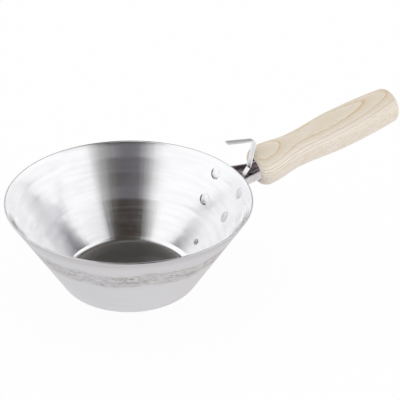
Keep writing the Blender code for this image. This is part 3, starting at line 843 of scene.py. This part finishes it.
def steel_outside():
    material, graph, shader, place = new_material("bowl_satin")
    along, cos_turn, sin_turn, z = ring_place(graph, place)
    lines = graph.grain((along, cos_turn, sin_turn), *OUTSIDE_LINES)
    tint = graph.grain((z, cos_turn, sin_turn), *OUTSIDE_TINT)
    tone = graph.blend(graph.step(tint, *OUTSIDE_TINT_SHARE), OUTSIDE_BLUISH, OUTSIDE_REDDISH)

    around = graph.join(cos_turn, sin_turn, 0.0)
    wander = graph.about_zero(graph.noise(around, *WANDER), WANDER_SIZE)
    level = graph.plus(z, wander)
    band = graph.times(graph.step(level, *BAND_BOTTOM), graph.step(level, *BAND_TOP))
    web = graph.stretch((z, cos_turn, sin_turn), WEB_FACTORS)
    from_thread = graph.math("ABSOLUTE", graph.plus(graph.noise(web, *THREADS), -0.5))
    threads = graph.step(from_thread, *THREAD_WIDTH)
    breaks_place = graph.join(cos_turn, sin_turn, graph.times(z, BREAKS_HEIGHT_FACTOR))
    breaks = graph.step(graph.noise(breaks_place, *BREAKS), *BREAKS_SHARE)
    haze = graph.step(graph.noise(web, *HAZE), *HAZE_SHARE)
    tracks = 0.0
    drift = graph.about_zero(graph.noise(around, *DRIFT), DRIFT_SIZE)
    for height, width, strength in SCUFF_TRACKS:
        gap = graph.math("ABSOLUTE", graph.plus(z, drift, wander, -height))
        tracks = graph.most(tracks, graph.step(gap, width * TRACK_CORE, width, strength, 0))
    marks = graph.times(band, graph.plus(
        graph.times(threads, breaks, THREADS_STRENGTH), graph.times(haze, HAZE_STRENGTH), BAND_STRENGTH,
    ))
    marks = graph.most(marks, graph.times(tracks, breaks))

    tone = graph.cover(tone, (marks, SCUFF), (graph.step(z, *OUTSIDE_TOP_SHARE), OUTSIDE_TOP))
    rough = graph.plus(graph.step(lines, *OUTSIDE_ROUGHNESS), graph.times(marks, SCUFF_ROUGHNESS))
    relief = graph.bump(graph.times(band, threads), *SCUFF_BUMP, graph.bump(lines, *OUTSIDE_LINES_BUMP))
    graph.fill(shader, {
        "Base Color": tone,
        "Metallic": 1.0,
        "Roughness": rough,
        "Anisotropic": OUTSIDE_ANISOTROPY,
        "Tangent": graph.node("ShaderNodeTangent", direction_type="RADIAL", axis="Z").outputs[0],
        "Normal": relief,
    })
    return material


def plain_steel(name, painted_shade_above=None):
    """Sheet steel with a faint cloudiness and fine scratches, and painted shade above a height where one is
    given.
    """
    dark, light, least_rough, most_rough, scale = PLAIN_STEELS[name]
    material, graph, shader, place = new_material(name)
    x, y, z = graph.split(place)
    cloud = graph.noise(place, scale, *PLAIN_CLOUDS)
    scratch = graph.grain((x, y, z), *PLAIN_SCRATCHES)
    tone = graph.blend(graph.step(cloud, *MIDTONES), dark, light)
    # A darker top as painted shade
    if painted_shade_above:
        tone = graph.blend(graph.step(z, painted_shade_above, painted_shade_above + PAINTED_TOP_SHADE_FADE), tone, PAINTED_TOP_SHADE)
    rough = graph.step(graph.plus(cloud, scratch), *PLAIN_ROUGHNESS, least_rough, most_rough)
    relief = graph.bump(scratch, *PLAIN_SCRATCHES_BUMP)
    graph.fill(shader, {"Base Color": tone, "Metallic": 1.0, "Roughness": rough, "Normal": relief})
    return material


# Handle. Points are (radius, station), with stations along the axis from the front face. The belly's radius is
# 0.15 mm under the part's and the heel's 0.12 mm.

HANDLE_STEPS = 96
BORE_START = (0.0053, 0.020)
BORE_END = (0.0053, 0.062)
MOUTH_END = (0.0095, 0.020)
MOUTH_START = (0.0095, 0.0003)
MOUTH_CORNER = (0.0097, 0.00005)
NOSE_FACE_RADIUS = 0.0100
NOSE_ROUND_LENGTH = 0.0078
BULGE = (0.01605, 0.0098)
NECK = (0.0136, 0.0350)
BELLY_START = (0.01595, 0.0786)
BELLY_END = (0.01595, 0.0868)
HEEL = (0.01435, 0.1252)
END_ROUND_LENGTH = 0.0068
MOUTH_ROWS = 3
NOSE_ROWS = 14
NECK_ROWS = 14
GRIP_ROWS = 18
BELLY_ROWS = 3
HEEL_ROWS = 14
END_ROWS = 12


def between(start, end, share, rise):
    """A point the share of the way from start to end in station, and the rise of the way in radius."""
    return start[0] + (end[0] - start[0]) * rise, start[1] + (end[1] - start[1]) * share


def swell(start, end, count):
    """Points along a soft S from start to end, without the start."""
    shares = [i / count for i in range(1, count + 1)]
    return [between(start, end, share, (1 - math.cos(math.pi * share)) / 2) for share in shares]


def turned_profile():
    """From the end of the bore out over the nose and back to the heel's end."""
    points = [(0, BORE_END[1]), BORE_END, BORE_START, MOUTH_END]
    points += line(MOUTH_END, MOUTH_START, MOUTH_ROWS)
    points.append(MOUTH_CORNER)
    nose_rise = BULGE[0] - NOSE_FACE_RADIUS
    for i in range(NOSE_ROWS + 1):
        angle = math.pi / 2 * i / NOSE_ROWS
        radius = NOSE_FACE_RADIUS + nose_rise * math.sin(angle)
        points.append((radius, NOSE_ROUND_LENGTH * (1 - math.cos(angle))))
    points.append(BULGE)
    points += swell(BULGE, NECK, NECK_ROWS)
    points += swell(NECK, BELLY_START, GRIP_ROWS)
    points += line(BELLY_START, BELLY_END, BELLY_ROWS)
    for i in range(1, HEEL_ROWS + 1):
        share = i / HEEL_ROWS
        points.append(between(BELLY_END, HEEL, share, share ** 2))
    for i in range(1, END_ROWS):
        angle = math.pi / 2 * i / END_ROWS
        points.append((HEEL[0] * math.cos(angle), HEEL[1] + END_ROUND_LENGTH * math.sin(angle)))
    points.append((0, HEEL[1] + END_ROUND_LENGTH))
    return points


def build_handle():
    mesh = lathe("handle_turned", turned_profile(), HANDLE_STEPS)
    turn = Matrix((HANDLE_UP.cross(HANDLE_ALONG), HANDLE_UP, HANDLE_ALONG)).transposed()
    mesh.transform(Matrix.Translation(HANDLE_FRONT) @ turn.to_4x4())
    mesh.materials.append(ash_wood())
    finish_mesh(mesh, TURNED_SHARP_ANGLE)
    piece = link_piece("handle_turned", mesh, "ash_wood", "handle")
    # The photo's bowl shows no reflection of the handle
    piece.visible_glossy = False


# Ash. Its lengths are millimetres: along the handle, to its side and up from its axis.

MILLIMETRES = 1000
# Where the late wood of each growth ring lies, measured across the rings from the handle's axis
RING_LINES = (
    -19.5, -17.9, -16.2, -14.7, -13.2, -11.6, -10.0, -8.5, -6.8, -5.2, -3.5, -1.9, -0.2, 1.5, 3.0, 5.2, 7.5,
    10.25, 13.5, 16.5,
)
RING_LOW = -21.0
RING_HIGH = 19.0
# Which way the rings lie across the handle, and how they lean along it
RING_SIDE = math.radians(102)
RING_LEAN = 0.055
WOBBLE = ((0.03, 0.10, 0.10), 3)
WOBBLE_SIZE = 1.3
FINE_WOBBLE = ((0.25, 1.1, 1.1), 2)
FINE_WOBBLE_SIZE = 0.35
# Over a ring, from 0 to 1: a slow darkening, then a dark line from its start, by height, to its end
RING_SHADE = (0.0, 0.86, 0, 0.30)
LATE_START = (0.0, 6.0, 0.46, 0.80)
LATE_FULL = (0.0, 6.0, 0.84, 0.97)
LATE_END = (0.975, 1.0, 1, 0)
DASHES = ((0.09, 0.9, 0.9), 3, 0.6)
DASHES_SHARE = (0.38, 0.62, 0.28, 0.70)
FIBRES = ((0.06, 2.4, 2.4), 4, 0.7)
FIBRES_SHARE = (0.35, 0.75, 0, 0.4)
PORES = ((0.16, 1.5, 1.5), 3, 0.7)
PORES_SHARE = (0.54, 0.68)
# Pores are dense at a ring's start and this thin after it
PORES_IN_RING = (0.0, 0.45, 1, 0)
PORES_LEAST = 0.25
CLOUDS = ((0.02, 0.07, 0.07), 3)
# Painted shade on the handle's top and painted light under it, over the wood's own tone between, with the
# heights at which each comes in
SHADED_TOP_DARK = (0.74, 0.67, 0.56)
SHADED_TOP_LIGHT = (0.77, 0.71, 0.62)
WOOD_DARK = (0.93, 0.88, 0.82)
WOOD_LIGHT = (0.96, 0.92, 0.87)
SHADED_TOP_UP = (3.0, 12.0)
LIT_UNDERSIDE = (0.98, 0.965, 0.94)
LIT_UNDERSIDE_UP = (-12.0, 2.0, 1, 0)
FIBRE_TONE = (0.80, 0.69, 0.55)
LATE_TONE = (0.61, 0.45, 0.25)
LATE_STRENGTH = 0.92
PORE_TONE = (0.56, 0.44, 0.31)
PORE_STRENGTH = 0.55
# The shadowed bore, by distance from the axis and along it
BORE_TONE = (0.06, 0.045, 0.035)
BORE_RADIUS_RANGE = (9.55, 9.85, 1, 0)
BORE_ALONG_RANGE = (63.0, 64.0, 1, 0)
WOOD_ROUGHNESS = (*MIDTONES, 0.50, 0.62)
WOOD_SPECULAR = 0.35
# How far pores, late wood and fibres stand out, as parts of the bump
PORE_RELIEF = -0.6
LATE_RELIEF = 0.25
FIBRE_RELIEF = 0.3
WOOD_BUMP = (0.00005, 0.6)


def growth_ring(graph, depth):
    """How far through its growth ring a depth lies, from 0 to 1."""
    reach = {"Value": depth, "From Min": RING_LOW, "From Max": RING_HIGH}
    ramp = graph.node("ShaderNodeValToRGB", {0: graph.node("ShaderNodeMapRange", reach).outputs[0]})
    count = len(RING_LINES) + 1
    stops = ramp.color_ramp.elements
    stops[0].color = (0, 0, 0, 1)
    stops[1].color = (1, 1, 1, 1)
    for index, place in enumerate(RING_LINES, 1):
        grey = index / count
        stops.new((place - RING_LOW) / (RING_HIGH - RING_LOW)).color = (grey, grey, grey, 1)
    return graph.math("FRACT", graph.times(ramp.outputs[0], count))


def ash_wood():
    material, graph, shader, place = new_material("ash_turned")
    from_front = graph.vector("SUBTRACT", place, HANDLE_FRONT, "Vector")
    axes = (HANDLE_ALONG, HANDLE_SIDE, HANDLE_UP)
    along, side, up = (graph.times(graph.dot(from_front, axis), MILLIMETRES) for axis in axes)

    def grain(details):
        return graph.grain((along, side, up), *details)

    depth = graph.plus(
        graph.times(side, math.cos(RING_SIDE)),
        graph.times(up, math.sin(RING_SIDE)),
        graph.times(along, -RING_LEAN),
        graph.about_zero(grain(WOBBLE), WOBBLE_SIZE),
        graph.about_zero(grain(FINE_WOBBLE), FINE_WOBBLE_SIZE),
    )
    ring = growth_ring(graph, depth)
    late_line = graph.step(ring, graph.step(up, *LATE_START), graph.step(up, *LATE_FULL))
    dashes = graph.step(grain(DASHES), *DASHES_SHARE)
    late = graph.plus(
        graph.step(ring, *RING_SHADE),
        graph.times(late_line, graph.step(ring, *LATE_END), dashes),
    )
    fibres = grain(FIBRES)
    pores = graph.times(
        graph.step(grain(PORES), *PORES_SHARE),
        graph.plus(graph.step(ring, *PORES_IN_RING), PORES_LEAST),
    )
    cloud = graph.step(grain(CLOUDS), *MIDTONES)
    from_axis = graph.math("SQRT", graph.plus(graph.times(side, side), graph.times(up, up)))
    bore = graph.times(graph.step(from_axis, *BORE_RADIUS_RANGE), graph.step(along, *BORE_ALONG_RANGE))
    tone = graph.cover(
        graph.blend(cloud, WOOD_DARK, WOOD_LIGHT),
        # Painted shade over the top and painted light under the handle
        (graph.step(up, *SHADED_TOP_UP), graph.blend(cloud, SHADED_TOP_DARK, SHADED_TOP_LIGHT)),
        (graph.step(up, *LIT_UNDERSIDE_UP), LIT_UNDERSIDE),
        (graph.step(fibres, *FIBRES_SHARE), FIBRE_TONE),
        (graph.times(late, LATE_STRENGTH), LATE_TONE),
        (graph.times(pores, PORE_STRENGTH), PORE_TONE),
        (bore, BORE_TONE),
    )
    relief = graph.plus(
        graph.times(pores, PORE_RELIEF), graph.times(late, LATE_RELIEF), graph.times(fibres, FIBRE_RELIEF),
    )
    graph.fill(shader, {
        "Base Color": tone,
        "Roughness": graph.step(fibres, *WOOD_ROUGHNESS),
        "Specular IOR Level": WOOD_SPECULAR,
        "Normal": graph.bump(relief, *WOOD_BUMP),
    })
    return material


# Hook

HOOK_BEND_STEPS = 12
SECTION_CORNER_STEPS = 3
HOOK_CORNER = 0.00022
# At its ends, the strip's section shrinks by this all round over the same length
HOOK_END_ROUND = 0.00018
HOOK_END_CORNER = 0.00012


def rounded_path(corners, radius, steps):
    """A path of 2D points with each corner between the ends rounded."""
    corners = [Vector(corner) for corner in corners]
    points = [corners[0]]
    for before, corner, after in zip(corners, corners[1:], corners[2:]):
        back = (before - corner).normalized()
        ahead = (after - corner).normalized()
        half_angle = back.angle(ahead) / 2
        start = corner + radius / math.tan(half_angle) * back
        end = corner + radius / math.tan(half_angle) * ahead
        centre = corner + radius / math.sin(half_angle) * (back + ahead).normalized()
        for i in range(steps + 1):
            chord = start.lerp(end, i / steps)
            points.append(centre + radius * (chord - centre).normalized())
    points.append(corners[-1])
    return points


def strip_section(width, thickness, corner):
    """A strip's rounded section as (across, out) points."""
    points = []
    for x, y, start in ((1, 1, 0), (-1, 1, 90), (-1, -1, 180), (1, -1, 270)):
        centre = (x * (width / 2 - corner), y * (thickness / 2 - corner))
        points += arc(centre, corner, math.radians(start), math.radians(start + 90), SECTION_CORNER_STEPS)
    return points


def build_hook():
    path = rounded_path(HOOK_CORNERS, HOOK_BEND_RADIUS, HOOK_BEND_STEPS)
    full = strip_section(HOOK_WIDTH, HOOK_THICKNESS, HOOK_CORNER)
    shrink = 2 * HOOK_END_ROUND
    small = strip_section(HOOK_WIDTH - shrink, HOOK_THICKNESS - shrink, HOOK_END_CORNER)
    neighbours = zip(path[:1] + path[:-1], path[1:] + path[-1:])
    ways = [(after - before).normalized() for before, after in neighbours]
    stations = [(point, way, full) for point, way in zip(path, ways)]
    stations[0] = (path[0] + HOOK_END_ROUND * ways[0], ways[0], full)
    stations[-1] = (path[-1] - HOOK_END_ROUND * ways[-1], ways[-1], full)
    stations.insert(0, (path[0], ways[0], small))
    stations.append((path[-1], ways[-1], small))

    body = bmesh.new()
    rings = []
    for point, way, section in stations:
        rings.append([
            body.verts.new((point.x - way.y * out, across, point.y + way.x * out)) for across, out in section
        ])
    skin(body, rings)
    body.faces.new(rings[0])
    body.faces.new(rings[-1])
    mesh = mesh_of(body, "hook_bent")
    # The hook's lip is painted darker above a height, as shade
    mesh.materials.append(plain_steel("hook_satin", HOOK_PAINTED_SHADE_ABOVE))
    finish_mesh(mesh, HOOK_SHARP_ANGLE)
    link_piece("hook_bent", mesh, "hook_steel", "hook")


# Bracket

BRACKET_MERGE_DISTANCE = 0.000001
# Edges that turn more than this are rounded by this much
SHEARED_EDGE_ANGLE = math.radians(55)
SHEARED_EDGE_ROUND = 0.00025
# Where the open channel starts, before the handle's front face
CHANNEL_START = -0.019
# How squarely a face of the channel's inside looks at the handle's axis, at least
CHANNEL_INWARD = 0.3


def build_bracket():
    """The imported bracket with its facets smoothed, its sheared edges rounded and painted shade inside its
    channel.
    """
    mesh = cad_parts["handle_bracket"].data.copy()
    mesh.name = "bracket_pressed"
    mesh.materials.clear()
    body = bmesh.new()
    body.from_mesh(mesh)
    bmesh.ops.remove_doubles(body, verts=body.verts, dist=BRACKET_MERGE_DISTANCE)
    edges = [edge for edge in body.edges if edge.calc_face_angle(0) > SHEARED_EDGE_ANGLE]
    bmesh.ops.bevel(
        body, geom=edges, offset=SHEARED_EDGE_ROUND, offset_type="OFFSET", segments=2, profile=0.5,
        affect="EDGES", clamp_overlap=True,
    )
    # Faces inside the open channel take the material that is painted dark as shade
    for face in body.faces:
        centre = face.calc_center_median()
        station = (centre - HANDLE_FRONT).dot(HANDLE_ALONG)
        inward = (HANDLE_FRONT + station * HANDLE_ALONG - centre).normalized()
        if station > CHANNEL_START and face.normal.dot(inward) > CHANNEL_INWARD:
            face.material_index = 1
    body.to_mesh(mesh)
    body.free()
    mesh.materials.append(plain_steel("bracket_bright"))
    mesh.materials.append(plain_steel("bracket_inside_painted_shade"))
    finish_mesh(mesh, BRACKET_SHARP_ANGLE)
    link_piece("bracket_pressed", mesh, "bracket_steel", "handle_bracket")


# Rivets

RIVET_STEPS = 32
HEAD_ROWS = 8
# How far the shank's ends stay from the heads' undersides
SHANK_GAP = 0.00002
# A head's upright edge: its height, at most this share of the head's, and the parts of it that are straight
HEAD_EDGE_HEIGHT = 0.0003
HEAD_EDGE_SHARE = 0.35
HEAD_EDGE_PARTS = (0.4, 0.7)
HEAD_EDGE_INSET = 0.00012


def head_points(radius, height):
    """A head's (radius, height) points from its edge to its crown, with a small upright edge."""
    edge = min(HEAD_EDGE_HEIGHT, HEAD_EDGE_SHARE * height)
    crown = height - edge
    sphere = (radius ** 2 + crown ** 2) / (2 * crown)
    points = [(radius - HEAD_EDGE_INSET, 0)] + [(radius, edge * part) for part in HEAD_EDGE_PARTS]
    for i in range(1, HEAD_ROWS + 1):
        reach = radius * math.cos(math.pi / 2 * i / HEAD_ROWS) if i < HEAD_ROWS else 0
        points.append((reach, edge + math.sqrt(sphere ** 2 - reach ** 2) - (sphere - crown)))
    return points


def rivet_profile(sizes, low, high):
    """From the inner head's crown out and down the shank to the outer head's crown."""
    points = [(r, low - h) for r, h in reversed(head_points(sizes.head, sizes.inner_height))]
    points += [(sizes.shank, low + SHANK_GAP), (sizes.shank, high - SHANK_GAP)]
    points += [(r, high + h) for r, h in head_points(sizes.head, sizes.outer_height)]
    return points


def build_rivet(name, place, outward, sizes, stack, material):
    """A rivet at a place, whose heads lie at the stack's two heights along the way outward."""
    mesh = lathe(name + "_set", rivet_profile(sizes, *stack), RIVET_STEPS)
    turn = outward.to_track_quat("Z", "Y").to_matrix().to_4x4()
    mesh.transform(Matrix.Translation(place) @ turn)
    mesh.materials.append(material)
    finish_mesh(mesh, TURNED_SHARP_ANGLE)
    link_piece(name + "_set", mesh, "rivet_steel", name)


def build_rivets():
    bright = plain_steel("rivet_plain")
    worn = plain_steel("rivet_worn")
    dull = plain_steel("rivet_dull")
    for name, below_rim, turn, sizes in WALL_RIVETS:
        place, outward = wall_point(below_rim, turn)
        stack = (inner_offset(place.z) - BOWL_SHEET, 2 * FIT_GAP + BRACKET_SHEET)
        finish = bright if turn > 0 else worn if turn < 0 else dull
        build_rivet(name, place, outward, sizes, stack, finish)
    hook_stack = (0, BRACKET_SHEET + 2 * FIT_GAP + HOOK_THICKNESS)
    build_rivet("hook_rivet", HOOK_RIVET_PLACE, HOOK_RIVET_AXIS, HOOK_RIVET, hook_stack, bright)


scene.view_settings.view_transform = "Standard"
place_camera()
build_world()
build_floor()
build_bowl()
build_handle()
build_hook()
build_bracket()
build_rivets()
